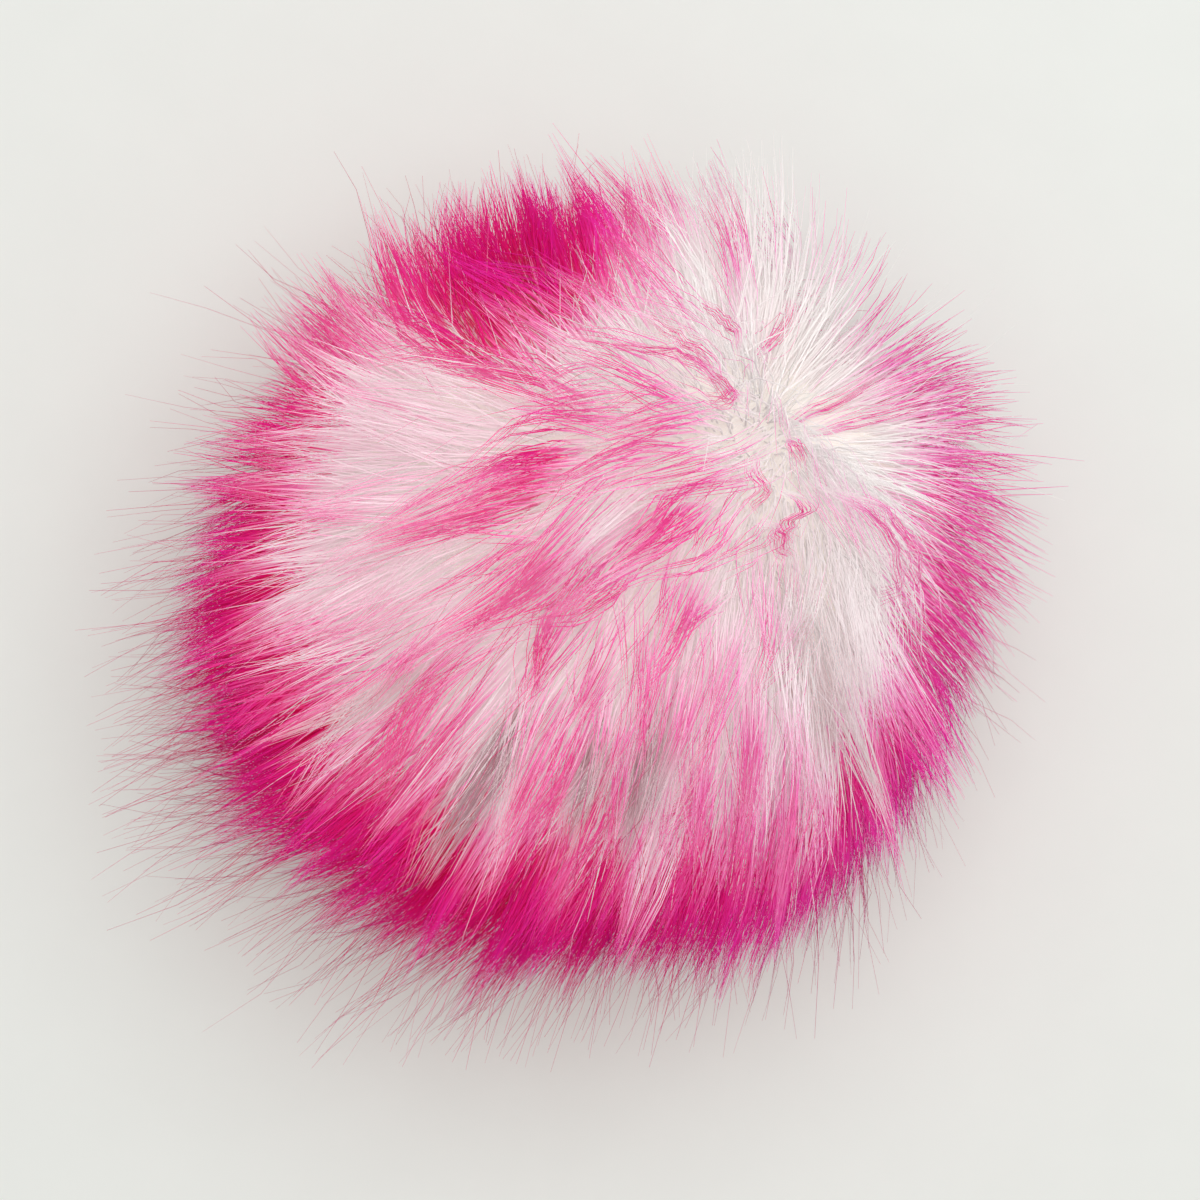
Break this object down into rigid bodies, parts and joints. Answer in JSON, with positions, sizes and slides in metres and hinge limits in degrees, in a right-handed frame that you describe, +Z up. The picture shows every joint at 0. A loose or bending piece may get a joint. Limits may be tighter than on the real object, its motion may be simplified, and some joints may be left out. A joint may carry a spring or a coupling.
{
  "type": "faux fur pom pom",
  "caption": "Large round pom pom of long-pile faux fur, white at the roots with bright pink tips, combed away from a crown and resting on a flat spot.",
  "frame": {"origin": "middle of the bounding box on the table, under the ball", "axes": "+Z up from the table, +X towards the longer side of the ball, on whose +X +Y side the crown of the pile is"},
  "size_m": [0.1716, 0.1636, 0.1287],
  "materials": {
    "faux_fur": "soft matt long pile, white at the roots and bright pink at the tips"
  },
  "bodies": {
    "root": {"fur_ball": "faux_fur"}
  },
  "joints": []
}
